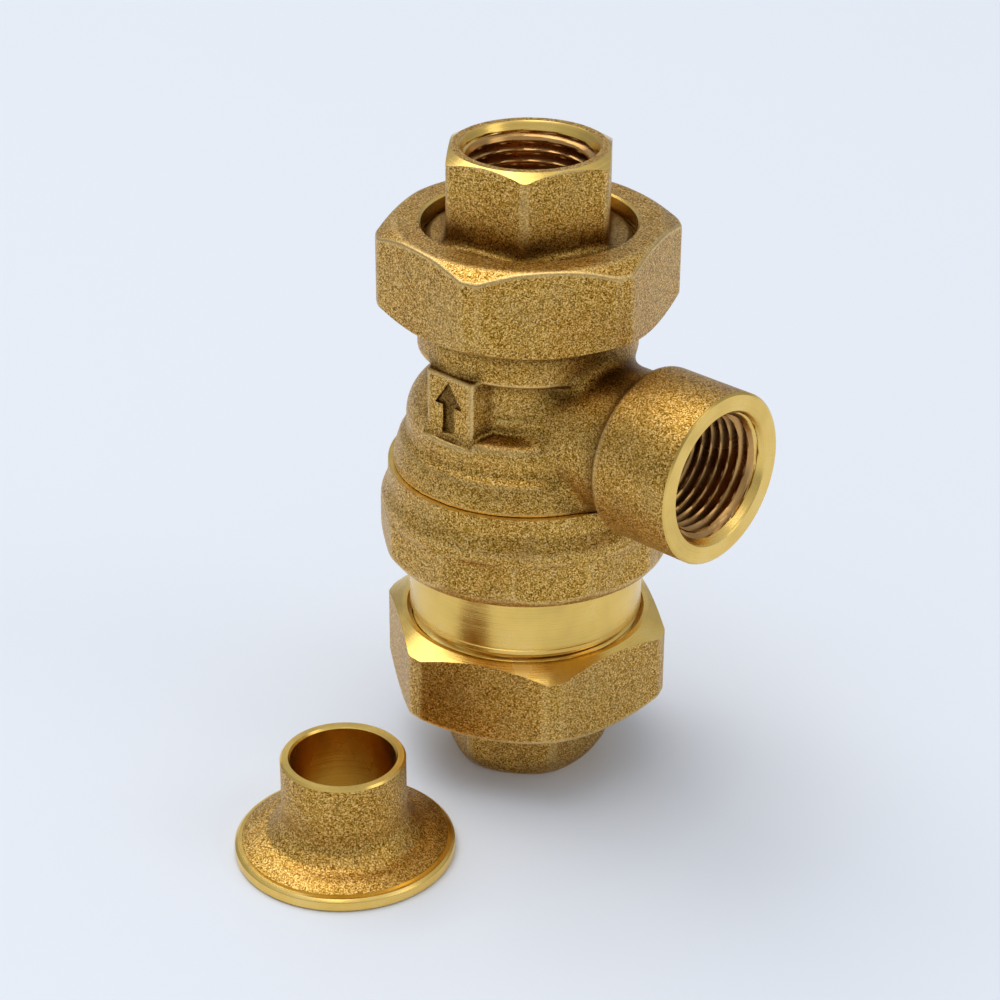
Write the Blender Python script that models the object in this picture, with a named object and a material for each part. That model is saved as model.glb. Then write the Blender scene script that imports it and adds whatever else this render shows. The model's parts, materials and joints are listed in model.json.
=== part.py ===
"""Half-inch dual-check backflow preventer with an atmospheric vent.

The valve stands on its inlet, with the flow going up. Two cast brass halves are
screwed together at a seam. Each end has a union: a hexagon tailpiece with a flange,
a fibre gasket and a big union nut. The vent port leaves the upper half towards +X,
and the pad with the flow arrow faces -Y. A spare solder tailpiece stands beside it.

Heights are measured up from the face the valve stands on, and radii from the valve's
own axis. The finished model is then shifted so that the world origin is the centre
of its footprint.
"""

import math

import bmesh
import bpy
from mathutils import Matrix, Vector

MM = 0.001
TAU = math.tau

# Driving dimensions
GAP = 0.3 * MM                      # clearance left between pieces that touch
SEGMENTS = 36                       # facets round a large turned piece
FINE = 20                           # facets round a small one
SMALL = 16                          # facets round the check valve pieces
HEIGHT = 107.5 * MM                 # inlet face to outlet face

# Half-inch taper pipe port, the same at the inlet, the outlet and the vent
PORT_R = 9.16 * MM                  # crest of the female thread
PORT_MOUTH_R = 10.95 * MM           # countersink at the mouth
PORT_DEPTH = 13.5 * MM
PORT_BORE_R = 7.5 * MM              # waterway past the thread

# Union tailpiece
TAIL_FLATS = 25.0 * MM
TAIL_CORNERS = 28.7 * MM             # across the corners, which are slightly blunt
TAIL_FACE_R = 12.2 * MM             # flat ring left at the end by the corner chamfer
TAIL_LENGTH = 17.65 * MM
FLANGE_R = 17.7 * MM
FLANGE_THICK = 2.2 * MM
SHOULDER_R = 16.5 * MM              # step that fills the nut's opening
SHOULDER_TOP = 13.3 * MM            # hexagon length above the shoulder

# Union nut
NUT_FLATS = 43.0 * MM
NUT_CORNERS = 48.4 * MM
NUT_HEIGHT = 14.7 * MM
NUT_SETBACK = 12.25 * MM            # from the tailpiece end to the nut's closed face
NUT_LIP_R = 16.9 * MM
NUT_LIP_THICK = 2.9 * MM
NUT_BORE_R = 18.85 * MM
NUT_MOUTH_R = 19.8 * MM
NUT_FACE_R = 21.4 * MM              # flat ring left by the corner chamfer
OUTLET_NUT_TURN = math.radians(-70)
INLET_NUT_TURN = math.radians(-36.4)
OUTLET_TAIL_TURN = math.radians(-51)
INLET_TAIL_TURN = math.radians(-28)

# Gasket and the body faces it seals on
GASKET_THICK = 1.5 * MM
GASKET_IN_R = 9.5 * MM
GASKET_OUT_R = 16.5 * MM
FACE_SETBACK = TAIL_LENGTH + GAP + GASKET_THICK + GAP
INLET_FACE = FACE_SETBACK
OUTLET_FACE = HEIGHT - FACE_SETBACK
UNION_THREAD_R = 18.5 * MM

# Body halves
COLLAR_R = 23.8 * MM
COLLAR_TOP = 54.2 * MM
COLLAR_UNDERSIDE = 38.7 * MM
MACHINED_R = 19.28 * MM
MACHINED_FROM = 27.5 * MM
COLLAR_BORE_R = 21.0 * MM
LEDGE = 43.9 * MM                   # the diaphragm's rim is clamped above this ledge
SPIGOT_R = 20.6 * MM
SPIGOT_END = 45.7 * MM
SKIRT_R = 21.73 * MM
CHAMBER_R = 14.6 * MM
CHAMBER_TOP_R = 13.2 * MM
NECK_R = 16.0 * MM
NECK_Z = 70.5 * MM
BAND_R = 17.5 * MM
BULGE_R = 6.5 * MM                  # section radius of the rounded belly
BULGE_CENTRE = (13.0 * MM, 63.2 * MM)
WEB_BOTTOM = 70.5 * MM
WEB_TOP = 72.5 * MM
WEB_HOLE_R = 9.0 * MM
CHECK_BORE_R = 13.5 * MM

# Vent port
VENT_Z = 63.84 * MM
VENT_MOUTH_X = 39.83 * MM
VENT_DRUM_R = 13.8 * MM
VENT_DRUM_X = 25.8 * MM
VENT_NECK_R = 11.4 * MM
VENT_NECK_TRIM_X = 24.4 * MM         # up to here the neck is cut flat above the collar
VENT_BORE_R = 7.5 * MM

# Flow arrow pad and the flat panels beside it
PAD_FACE = 18.5 * MM
PAD_WIDTH = 9.3 * MM
PAD_BOTTOM = 63.8 * MM
PAD_TOP = 74.5 * MM
PANEL_R = 16.5 * MM
PANEL_BOTTOM = 65.4 * MM
PANEL_TOP = 73.6 * MM
PANEL_FROM = 10.0                   # degrees from the pad's centre line
PANEL_TO = 62.0
ARROW_DEPTH = 0.4 * MM

# Vent mechanism, at rest with the vent open
PISTON_LIFT = 2.5 * MM
PISTON_BOTTOM = 37.8 * MM
PISTON_TOP = 52.7 * MM
PISTON_R = 10.8 * MM
PISTON_FLANGE_R = 13.8 * MM
PISTON_FLANGE_TOP = 41.8 * MM
PISTON_BORE_R = 8.5 * MM
DIAPHRAGM_THICK = 1.2 * MM
VENT_SEAT_END = 57.3 * MM
VENT_SPRING_R = 12.0 * MM
VENT_SPRING_WIRE = 0.55 * MM
CLAMP_RING_TOP = 45.2 * MM

# Check valves: height of the seat, reach of the disc and lift
INLET_SEAT = 41.0 * MM
OUTLET_SEAT = 75.3 * MM
STEM_R = 1.2 * MM
HUB_BORE_R = 1.6 * MM

# Spare solder tailpiece
SOLDER_X = 1.0 * MM
SOLDER_Y = -43.8 * MM
SOLDER_HEIGHT = 17.46 * MM
SOLDER_TUBE_R = 10.0 * MM
SOLDER_CUP_R = 8.16 * MM
SOLDER_CUP_FLOOR = 4.6 * MM
SOLDER_BORE_R = 7.2 * MM

CAST_BRASS = ((0.36, 0.25, 0.09), 0.45, 1.0)
BRIGHT_BRASS = ((0.78, 0.57, 0.24), 0.22, 1.0)
RUBBER = ((0.02, 0.02, 0.022), 0.6, 0.0)
FIBRE = ((0.24, 0.32, 0.20), 0.8, 0.0)
STEEL = ((0.62, 0.62, 0.64), 0.25, 1.0)
ACETAL = ((0.80, 0.79, 0.74), 0.4, 0.0)


# --- building blocks ---------------------------------------------------------

def clear_scene():
    for item in list(bpy.data.objects):
        bpy.data.objects.remove(item, do_unlink=True)


def material_for(name, look):
    colour, roughness, metallic = look
    material = bpy.data.materials.new(name)
    material.use_nodes = True
    shader = material.node_tree.nodes["Principled BSDF"]
    shader.inputs["Base Color"].default_value = (*colour, 1.0)
    shader.inputs["Roughness"].default_value = roughness
    shader.inputs["Metallic"].default_value = metallic
    return material


def mesh_object(name, mesh_builder, look=None):
    """Make an object from a bmesh; without a look it is a hidden cutter."""
    bmesh.ops.recalc_face_normals(mesh_builder, faces=mesh_builder.faces)
    mesh = bpy.data.meshes.new(name)
    mesh_builder.to_mesh(mesh)
    mesh_builder.free()
    made = bpy.data.objects.new(name, mesh)
    bpy.context.scene.collection.objects.link(made)
    if look is None:
        made.hide_render = True
        made.display_type = "WIRE"
    else:
        mesh.materials.append(material_for(name, look))
        mesh.shade_smooth()
        mesh.set_sharp_from_angle(angle=math.radians(30))
    return made


def turned(name, outline, look=None, segments=SEGMENTS, start=0.0, trim=None):
    """Turn a closed outline of (radius, height) points about the Z axis.

    trim(radius, height, angle) may cut the radius back, for instance to a hexagon.
    """
    builder = bmesh.new()
    angles = [start + TAU * step / segments for step in range(segments)]
    rings = []
    for radius, height in outline:
        if radius == 0.0:
            rings.append([builder.verts.new((0.0, 0.0, height))] * segments)
            continue
        ring = []
        for angle in angles:
            reach = trim(radius, height, angle) if trim else radius
            ring.append(builder.verts.new((reach * math.cos(angle), reach * math.sin(angle), height)))
        rings.append(ring)
    for first, second in zip(rings, rings[1:] + rings[:1]):
        for step in range(segments):
            corners = [first[step], first[step - 1], second[step - 1], second[step]]
            face = list(dict.fromkeys(corners))
            if len(face) > 2:
                builder.faces.new(face)
    return mesh_object(name, builder, look)


def extruded(name, outline, place, depth, look=None):
    """Extrude a flat polygon by depth along its own Z, then place it with a matrix."""
    builder = bmesh.new()
    lower = [builder.verts.new((x, y, 0.0)) for x, y in outline]
    upper = [builder.verts.new((x, y, depth)) for x, y in outline]
    builder.faces.new(lower)
    builder.faces.new(upper)
    for index in range(len(outline)):
        builder.faces.new([lower[index - 1], lower[index], upper[index], upper[index - 1]])
    builder.transform(place)
    return mesh_object(name, builder, look)


def swept(name, centres, sections, look):
    """Join closed sections, one for each centre, into one capped tube."""
    builder = bmesh.new()
    rings = []
    for centre, section in zip(centres, sections):
        rings.append([builder.verts.new(centre + offset) for offset in section])
    for first, second in zip(rings, rings[1:]):
        for index in range(len(first)):
            builder.faces.new([first[index - 1], first[index], second[index], second[index - 1]])
    builder.faces.new(rings[0])
    builder.faces.new(rings[-1])
    return mesh_object(name, builder, look)


def coil(name, radius, wire, bottom, top, turns, steps=10, sides=5):
    """A compression spring with its wire's centre line inside bottom..top."""
    centres = []
    sections = []
    count = round(turns * steps)
    for step in range(count + 1):
        angle = TAU * step / steps
        height = bottom + wire + (top - bottom - 2 * wire) * step / count
        outward = Vector((math.cos(angle), math.sin(angle), 0.0))
        centres.append(outward * radius + Vector((0.0, 0.0, height)))
        section = []
        for side in range(sides):
            turn = TAU * side / sides
            section.append(outward * (wire * math.cos(turn)) + Vector((0.0, 0.0, wire * math.sin(turn))))
        sections.append(section)
    return swept(name, centres, sections, STEEL)


def combine(target, cutter, operation):
    modifier = target.modifiers.new(operation.title() + "_" + cutter.name, "BOOLEAN")
    modifier.operation = operation
    modifier.object = cutter


def arc(centre, radius, start, end, count):
    """Points on an arc in the (radius, height) plane, angles in degrees."""
    points = []
    for step in range(count + 1):
        angle = math.radians(start + (end - start) * step / count)
        points.append((centre[0] + radius * math.cos(angle), centre[1] + radius * math.sin(angle)))
    return points


def hexagon_reach(angle, corner, flats, corners):
    """Distance from the axis to a hexagon with blunt corners, one of them at corner.

    flats and corners are its sizes across the flats and across the corners.
    """
    sixth = math.radians(60)
    from_corner = abs((angle - corner + sixth / 2) % sixth - sixth / 2)
    flat_reach = flats / 2 / math.cos(sixth / 2 - from_corner)
    return min(flat_reach, corners / 2 / math.cos(from_corner))


def mirrored(outline):
    """The same outline seen from the other end of the valve."""
    return [(radius, HEIGHT - height) for radius, height in outline]


def along_x(origin_z):
    """Lay a piece turned about Z along +X, at a height."""
    return Matrix.Translation((0.0, 0.0, origin_z)) @ Matrix.Rotation(math.radians(90), 4, "Y")


# --- union ends, drawn for the inlet and mirrored for the outlet ----------------

def tailpiece_outline():
    """The end face is at height 0 and the flange at TAIL_LENGTH."""
    slope = math.tan(math.radians(30))
    corner_r = TAIL_FLATS / 2 / math.cos(math.radians(30))
    flange_outer = TAIL_LENGTH - FLANGE_THICK
    edge = 0.4 * MM
    return [
        (PORT_MOUTH_R, 0.0),
        (TAIL_FACE_R, 0.0),
        (TAIL_FLATS / 2, (TAIL_FLATS / 2 - TAIL_FACE_R) * slope),
        (corner_r, (corner_r - TAIL_FACE_R) * slope),
        (corner_r, SHOULDER_TOP),
        (SHOULDER_R - 0.5 * MM, SHOULDER_TOP + 1.1 * MM),
        (SHOULDER_R, SHOULDER_TOP + 1.6 * MM),
        (SHOULDER_R, flange_outer),
        (FLANGE_R - edge, flange_outer),
        (FLANGE_R, flange_outer + edge),
        (FLANGE_R, TAIL_LENGTH - edge),
        (FLANGE_R - edge, TAIL_LENGTH),
        (PORT_BORE_R, TAIL_LENGTH),
        (PORT_BORE_R, PORT_DEPTH + 0.9 * MM),
        (PORT_R, PORT_DEPTH),
        (PORT_R, PORT_MOUTH_R - PORT_R),
    ]


def tailpiece(name, turn, outline):
    def trim(radius, height, angle):
        from_end = min(height, HEIGHT - height)
        if from_end > SHOULDER_TOP + 0.1 * MM:
            return radius
        return min(radius, hexagon_reach(angle, turn, TAIL_FLATS, TAIL_CORNERS))

    return turned(name, outline, CAST_BRASS, start=turn, trim=trim)


def nut_outline():
    """The closed face with the lip is at NUT_SETBACK and the open face above it."""
    closed = NUT_SETBACK
    open_face = NUT_SETBACK + NUT_HEIGHT
    slope = math.tan(math.radians(30))
    corner_r = NUT_FLATS / 2 / math.cos(math.radians(30))
    corner_drop = (corner_r - NUT_FACE_R) * slope
    edge = 0.3 * MM
    return [
        (NUT_LIP_R + edge, closed),
        (NUT_FACE_R, closed),
        ((NUT_FACE_R + corner_r) / 2, closed + corner_drop / 2),
        (corner_r, closed + corner_drop),
        (corner_r, open_face - corner_drop),
        ((NUT_FACE_R + corner_r) / 2, open_face - corner_drop / 2),
        (NUT_FACE_R, open_face),
        (NUT_MOUTH_R, open_face),
        (NUT_BORE_R, open_face - (NUT_MOUTH_R - NUT_BORE_R)),
        (NUT_BORE_R, closed + NUT_LIP_THICK),
        (NUT_LIP_R, closed + NUT_LIP_THICK),
        (NUT_LIP_R, closed + edge),
    ]


def union_nut(name, turn, outline):
    def trim(radius, _height, angle):
        return min(radius, hexagon_reach(angle, turn, NUT_FLATS, NUT_CORNERS))

    return turned(name, outline, CAST_BRASS, start=turn, trim=trim)


def gasket_outline():
    bottom = TAIL_LENGTH + GAP
    return ring_outline(GASKET_IN_R, GASKET_OUT_R, bottom, bottom + GASKET_THICK)


def ring_outline(inner, outer, bottom, top):
    return [(inner, bottom), (outer, bottom), (outer, top), (inner, top)]


def union_ends():
    inlet = [
        tailpiece("inlet_tailpiece", INLET_TAIL_TURN, tailpiece_outline()),
        union_nut("inlet_union_nut", INLET_NUT_TURN, nut_outline()),
        turned("inlet_gasket", gasket_outline(), FIBRE, FINE),
    ]
    outlet = [
        tailpiece("outlet_tailpiece", OUTLET_TAIL_TURN, mirrored(tailpiece_outline())),
        union_nut("outlet_union_nut", OUTLET_NUT_TURN, mirrored(nut_outline())),
        turned("outlet_gasket", mirrored(gasket_outline()), FIBRE, FINE),
    ]
    return inlet + outlet


# --- body halves ---------------------------------------------------------------

def inlet_body():
    """Lower half: union thread, machined waist and the collar that takes the spigot."""
    waist_bore_r = 12.0 * MM
    strainer_seat_r = 14.4 * MM
    strainer_seat_top = INLET_FACE + 2.1 * MM
    chamber_floor = PISTON_BOTTOM - GAP
    chamber_r = 16.6 * MM
    thread_top = MACHINED_FROM - 0.5 * MM
    outline = [
        (strainer_seat_r, INLET_FACE),
        (UNION_THREAD_R - 0.8 * MM, INLET_FACE),
        (UNION_THREAD_R, INLET_FACE + 0.8 * MM),
        (UNION_THREAD_R, thread_top),
        (MACHINED_R, MACHINED_FROM),
        (MACHINED_R, COLLAR_UNDERSIDE),
        (COLLAR_R - 1.2 * MM, COLLAR_UNDERSIDE),
        (COLLAR_R - 0.3 * MM, COLLAR_UNDERSIDE + 0.6 * MM),
        (COLLAR_R, COLLAR_UNDERSIDE + 1.8 * MM),
        (COLLAR_R, COLLAR_TOP - 6.2 * MM),
        (COLLAR_R - 0.9 * MM, COLLAR_TOP - 4.2 * MM),
        (COLLAR_R - 1.5 * MM, COLLAR_TOP - 2.7 * MM),
        (COLLAR_R - 1.8 * MM, COLLAR_TOP),
        (COLLAR_BORE_R, COLLAR_TOP),
        (COLLAR_BORE_R, LEDGE),
        (chamber_r, LEDGE),
        (chamber_r, chamber_floor),
        (waist_bore_r, chamber_floor),
        (waist_bore_r, strainer_seat_top),
        (strainer_seat_r, strainer_seat_top),
    ]
    return turned("inlet_body", outline, CAST_BRASS)


def outlet_body_shell():
    """Outside of the upper half, solid to the axis."""
    groove_floor = 19.1 * MM
    groove_bottom = 51.2 * MM
    groove_top = 53.1 * MM
    skirt_bottom = COLLAR_TOP + GAP
    outline = [
        (0.0, SPIGOT_END),
        (SPIGOT_R, SPIGOT_END),
        (SPIGOT_R, groove_bottom),
        (groove_floor, groove_bottom),
        (groove_floor, groove_top),
        (SPIGOT_R, groove_top),
        (SPIGOT_R, skirt_bottom),
        (SKIRT_R, skirt_bottom),
        (SKIRT_R - 0.35 * MM, 56.2 * MM),
        (SKIRT_R - 1.15 * MM, 58.7 * MM),
    ]
    outline += arc(BULGE_CENTRE, BULGE_R, -29, 62, 5)
    outline += [
        (NECK_R, NECK_Z),
        (BAND_R - 0.3 * MM, NECK_Z + 3.0 * MM),
        (BAND_R, NECK_Z + 4.0 * MM),
        (BAND_R, 79.8 * MM),
        (UNION_THREAD_R, 80.3 * MM),
        (UNION_THREAD_R, OUTLET_FACE - 0.8 * MM),
        (UNION_THREAD_R - 0.8 * MM, OUTLET_FACE),
        (0.0, OUTLET_FACE),
    ]
    return turned("outlet_body", outline, CAST_BRASS)


def outlet_body_cavity():
    groove_r = 14.5 * MM
    clamp_r = 17.3 * MM
    clamp_top = 48.0 * MM
    below = SPIGOT_END - MM
    above = OUTLET_FACE + MM
    outline = [
        (0.0, below),
        (clamp_r, below),
        (clamp_r, clamp_top),
        (CHAMBER_R, clamp_top + 0.8 * MM),
        (CHAMBER_R, 64.0 * MM),
        (CHAMBER_TOP_R, 67.0 * MM),
        (CHAMBER_TOP_R, WEB_BOTTOM),
        (WEB_HOLE_R, WEB_BOTTOM),
        (WEB_HOLE_R, WEB_TOP),
        (CHECK_BORE_R, WEB_TOP),
        (CHECK_BORE_R, 85.9 * MM),
        (groove_r, 85.9 * MM),
        (groove_r, 87.1 * MM),
        (CHECK_BORE_R, 87.1 * MM),
        (CHECK_BORE_R, above),
        (0.0, above),
    ]
    return turned("cut_waterway", outline)


def vent_port():
    """The vent's neck and drum, and the cutter for its bore, both laid along +X."""
    drum_edge = 1.0 * MM
    outer = turned("vent_outer", [
        (0.0, 6.0 * MM),
        (VENT_NECK_R, 6.0 * MM),
        (VENT_NECK_R, VENT_DRUM_X - 0.9 * MM),
        (VENT_DRUM_R - drum_edge, VENT_DRUM_X),
        (VENT_DRUM_R, VENT_DRUM_X + drum_edge),
        (VENT_DRUM_R, VENT_MOUTH_X),
        (0.0, VENT_MOUTH_X),
    ])
    thread_end = VENT_MOUTH_X - PORT_DEPTH
    past_mouth = VENT_MOUTH_X + MM
    bore = turned("cut_vent_bore", [
        (0.0, 11.0 * MM),
        (VENT_BORE_R, 11.0 * MM),
        (VENT_BORE_R, thread_end - 0.6 * MM),
        (PORT_R, thread_end),
        (PORT_R, VENT_MOUTH_X - (PORT_MOUTH_R - PORT_R)),
        (PORT_MOUTH_R, VENT_MOUTH_X),
        (PORT_MOUTH_R, past_mouth),
        (0.0, past_mouth),
    ])
    for piece in (outer, bore):
        piece.data.transform(along_x(VENT_Z))
    trim_side = 15.0 * MM
    trim_top = COLLAR_TOP + 0.5 * MM
    trim_outline = [
        (0.0, -trim_side), (VENT_NECK_TRIM_X, -trim_side), (VENT_NECK_TRIM_X, trim_side), (0.0, trim_side),
    ]
    place = Matrix.Translation((0.0, 0.0, trim_top - 2 * trim_side))
    trim = extruded("cut_vent_underside", trim_outline, place, 2 * trim_side)
    combine(outer, trim, "DIFFERENCE")
    return outer, bore, trim


def panel_cutter(name, start, end):
    """A ring sector, outside PANEL_R, that flattens the belly beside the arrow pad."""
    outer_r = 26.0 * MM
    steps = 8
    angles = [math.radians(start + (end - start) * step / steps) for step in range(steps + 1)]
    outline = [(outer_r * math.cos(angle), outer_r * math.sin(angle)) for angle in angles]
    outline += [(PANEL_R * math.cos(angle), PANEL_R * math.sin(angle)) for angle in reversed(angles)]
    place = Matrix.Translation((0.0, 0.0, PANEL_BOTTOM))
    return extruded(name, outline, place, PANEL_TOP - PANEL_BOTTOM)


def pad(name, side):
    """A square-edged pad on the belly; side is -1 for the front and +1 for the back."""
    half = PAD_WIDTH / 2
    inner = 13.8 * MM
    near, far = side * inner, side * PAD_FACE
    outline = [(-half, near), (half, near), (half, far), (-half, far)]
    return extruded(name, outline, Matrix.Translation((0.0, 0.0, PAD_BOTTOM)), PAD_TOP - PAD_BOTTOM)


def flow_arrow():
    """Cutter for the arrow sunk into the front pad, pointing along the flow."""
    head_half = 2.9 * MM
    shaft_half = 1.1 * MM
    head_base = 0.6 * MM
    reach = 3.9 * MM
    outline = [
        (-shaft_half, -reach), (shaft_half, -reach), (shaft_half, head_base), (head_half, head_base),
        (0.0, reach), (-head_half, head_base), (-shaft_half, head_base),
    ]
    middle = (PAD_BOTTOM + PAD_TOP) / 2
    place = Matrix.Translation((0.0, ARROW_DEPTH - PAD_FACE, middle))
    upright = place @ Matrix.Rotation(math.radians(90), 4, "X")
    return extruded("cut_flow_arrow", outline, upright, ARROW_DEPTH + MM)


def outlet_body():
    """Upper half: spigot, belly, vent port, arrow pad, neck and union thread."""
    body = outlet_body_shell()
    cutters = []
    for name, start, end in (
        ("cut_panel_front_right", -90 + PANEL_FROM, -90 + PANEL_TO),
        ("cut_panel_back_right", 90 - PANEL_TO, 90 - PANEL_FROM),
    ):
        cutters.append(panel_cutter(name, start, end))
        combine(body, cutters[-1], "DIFFERENCE")
    vent_outer, vent_bore, vent_trim = vent_port()
    cutters.append(vent_trim)
    for piece in (pad("pad_front", -1), pad("pad_back", 1), vent_outer):
        cutters.append(piece)
        combine(body, piece, "UNION")
    for piece in (outlet_body_cavity(), vent_bore, flow_arrow()):
        cutters.append(piece)
        combine(body, piece, "DIFFERENCE")
    return body, cutters


def body_o_ring():
    section = arc((19.98 * MM, 52.15 * MM), 0.57 * MM, 0, 300, 5)
    return turned("body_o_ring", section, RUBBER, SEGMENTS)


# --- vent mechanism ---------------------------------------------------------------

def vent_piston():
    """Carrier for the first check valve; its flange backs the diaphragm."""
    seat_r = 6.5 * MM
    outline = [
        (seat_r, PISTON_BOTTOM),
        (PISTON_FLANGE_R, PISTON_BOTTOM),
        (PISTON_FLANGE_R, PISTON_FLANGE_TOP),
        (PISTON_R, PISTON_FLANGE_TOP),
        (PISTON_R, PISTON_TOP),
        (PISTON_BORE_R, PISTON_TOP),
        (PISTON_BORE_R, INLET_SEAT - 0.6 * MM),
        (seat_r + 0.7 * MM, INLET_SEAT - 0.6 * MM),
        (seat_r + 0.3 * MM, INLET_SEAT),
        (seat_r, INLET_SEAT),
    ]
    return turned("vent_piston", outline, BRIGHT_BRASS, FINE)


def diaphragm():
    """Rubber disc with one soft fold between the clamped rim and the piston."""
    inner_r = PISTON_R + GAP
    fold_from = 13.9 * MM
    fold_to = 16.2 * MM
    outer_r = 20.3 * MM
    low = PISTON_FLANGE_TOP + GAP + DIAPHRAGM_THICK / 2
    high = LEDGE + GAP + DIAPHRAGM_THICK / 2
    middle = [(inner_r, low)]
    for step in range(4):
        share = step / 3
        rise = (1 - math.cos(math.pi * share)) / 2
        middle.append((fold_from + (fold_to - fold_from) * share, low + (high - low) * rise))
    middle.append((outer_r, high))
    lower = [(radius, height - DIAPHRAGM_THICK / 2) for radius, height in middle]
    upper = [(radius, height + DIAPHRAGM_THICK / 2) for radius, height in reversed(middle)]
    return turned("diaphragm", lower + upper, RUBBER, FINE)


def vent_parts():
    clamp_bottom = PISTON_FLANGE_TOP + DIAPHRAGM_THICK + 2 * GAP + 0.1 * MM
    seal_bottom = PISTON_TOP + GAP
    seal_top = VENT_SEAT_END - PISTON_LIFT - GAP
    flange_bottom = WEB_BOTTOM - GAP - 2.2 * MM
    seat_bore = 8.5 * MM
    seat_r = 10.2 * MM
    seat_outline = [
        (seat_bore, VENT_SEAT_END), (seat_r, VENT_SEAT_END), (seat_r, flange_bottom),
        (12.8 * MM, flange_bottom), (12.8 * MM, WEB_BOTTOM - GAP), (seat_bore, WEB_BOTTOM - GAP),
    ]
    return [
        vent_piston(),
        diaphragm(),
        turned("diaphragm_clamp_ring", ring_outline(11.1 * MM, 13.6 * MM, clamp_bottom, CLAMP_RING_TOP),
               BRIGHT_BRASS, FINE),
        turned("vent_seal_ring", ring_outline(PISTON_BORE_R + 0.1 * MM, PISTON_R, seal_bottom, seal_top),
               RUBBER, FINE),
        turned("vent_seat_tube", seat_outline, BRIGHT_BRASS, FINE),
        coil("vent_spring", VENT_SPRING_R, VENT_SPRING_WIRE,
             CLAMP_RING_TOP + GAP, flange_bottom - GAP, 5.5, 14),
    ]


# --- check valves ---------------------------------------------------------------

def poppet(name, seat, disc_r, stem_top):
    """Disc with a boss below for the seal and a guide stem above."""
    boss_r = 2.5 * MM
    seal_top = seat + GAP + 1.0 * MM
    disc_bottom = seal_top + GAP
    disc_top = disc_bottom + 1.0 * MM
    outline = [
        (0.0, seat - 0.2 * MM),
        (boss_r, seat - 0.2 * MM),
        (boss_r, disc_bottom),
        (disc_r, disc_bottom),
        (disc_r, disc_top - 0.3 * MM),
        (disc_r - 0.5 * MM, disc_top),
        (STEM_R, disc_top),
        (STEM_R, stem_top),
        (0.0, stem_top),
    ]
    return turned(name, outline, ACETAL, SMALL), disc_top


def check_seal(name, seat, outer_r):
    return turned(name, ring_outline(2.9 * MM, outer_r, seat + GAP, seat + GAP + MM), RUBBER, SMALL)


def check_guide(name, inner_r, outer_r, bottom, top):
    """Ring with three spokes that carry the hub the stem slides in."""
    hub_r = 2.9 * MM
    spoke_half = 0.8 * MM
    guide = turned(name, ring_outline(inner_r, outer_r, bottom, top), ACETAL, SMALL)
    pieces = [turned("hub_of_" + name, ring_outline(HUB_BORE_R, hub_r, bottom, top), None, SMALL)]
    overlap = 0.4 * MM
    for index in range(3):
        outline = [
            (hub_r - overlap, -spoke_half), (inner_r + overlap, -spoke_half),
            (inner_r + overlap, spoke_half), (hub_r - overlap, spoke_half),
        ]
        turn = Matrix.Rotation(TAU * index / 3, 4, "Z")
        place = turn @ Matrix.Translation((0.0, 0.0, bottom + 0.2 * MM))
        pieces.append(extruded("spoke_%d_of_%s" % (index, name), outline, place, top - bottom - 0.4 * MM))
    for piece in pieces:
        combine(guide, piece, "UNION")
    return guide, pieces


def snap_ring():
    """Open ring sprung into the groove above the second check valve."""
    inner_r = 12.3 * MM
    outer_r = 14.2 * MM
    opening = math.radians(26)
    steps = 20
    outline = []
    for radius, direction in ((outer_r, 1), (inner_r, -1)):
        for step in range(steps + 1)[::direction]:
            angle = opening / 2 + (TAU - opening) * step / steps
            outline.append((radius * math.cos(angle), radius * math.sin(angle)))
    place = Matrix.Rotation(math.radians(140), 4, "Z") @ Matrix.Translation((0.0, 0.0, 86.2 * MM))
    return extruded("outlet_snap_ring", outline, place, 0.7 * MM, STEEL)


def check_valves():
    inlet_guide_bottom = 50.5 * MM
    outlet_guide_bottom = 83.0 * MM
    inlet_poppet, inlet_disc_top = poppet("inlet_check_poppet", INLET_SEAT, 7.4 * MM, 53.5 * MM)
    outlet_poppet, outlet_disc_top = poppet("outlet_check_poppet", OUTLET_SEAT, 8.2 * MM, 86.5 * MM)
    inlet_guide, inlet_pieces = check_guide(
        "inlet_check_guide", 6.8 * MM, PISTON_BORE_R - GAP,
        inlet_guide_bottom, inlet_guide_bottom + 2.0 * MM)
    outlet_guide, outlet_pieces = check_guide(
        "outlet_check_guide", 11.4 * MM, CHECK_BORE_R - GAP,
        outlet_guide_bottom, outlet_guide_bottom + 2.6 * MM)
    seat_outline = [
        (6.8 * MM, WEB_TOP + GAP), (CHECK_BORE_R - GAP, WEB_TOP + GAP),
        (CHECK_BORE_R - GAP, OUTLET_SEAT - 0.7 * MM),
        (7.9 * MM, OUTLET_SEAT - 0.7 * MM), (7.2 * MM, OUTLET_SEAT), (6.8 * MM, OUTLET_SEAT),
    ]
    parts = [
        inlet_poppet,
        check_seal("inlet_check_seal", INLET_SEAT, 7.4 * MM),
        coil("inlet_check_spring", 4.2 * MM, 0.25 * MM, inlet_disc_top + GAP, inlet_guide_bottom - GAP, 4),
        inlet_guide,
        turned("outlet_check_seat", seat_outline, BRIGHT_BRASS, FINE),
        outlet_poppet,
        check_seal("outlet_check_seal", OUTLET_SEAT, 8.2 * MM),
        coil("outlet_check_spring", 4.2 * MM, 0.22 * MM,
             outlet_disc_top + GAP, outlet_guide_bottom - GAP, 3),
        outlet_guide,
        snap_ring(),
    ]
    return parts, inlet_pieces + outlet_pieces


# --- strainer and spare tailpiece -------------------------------------------------

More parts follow.
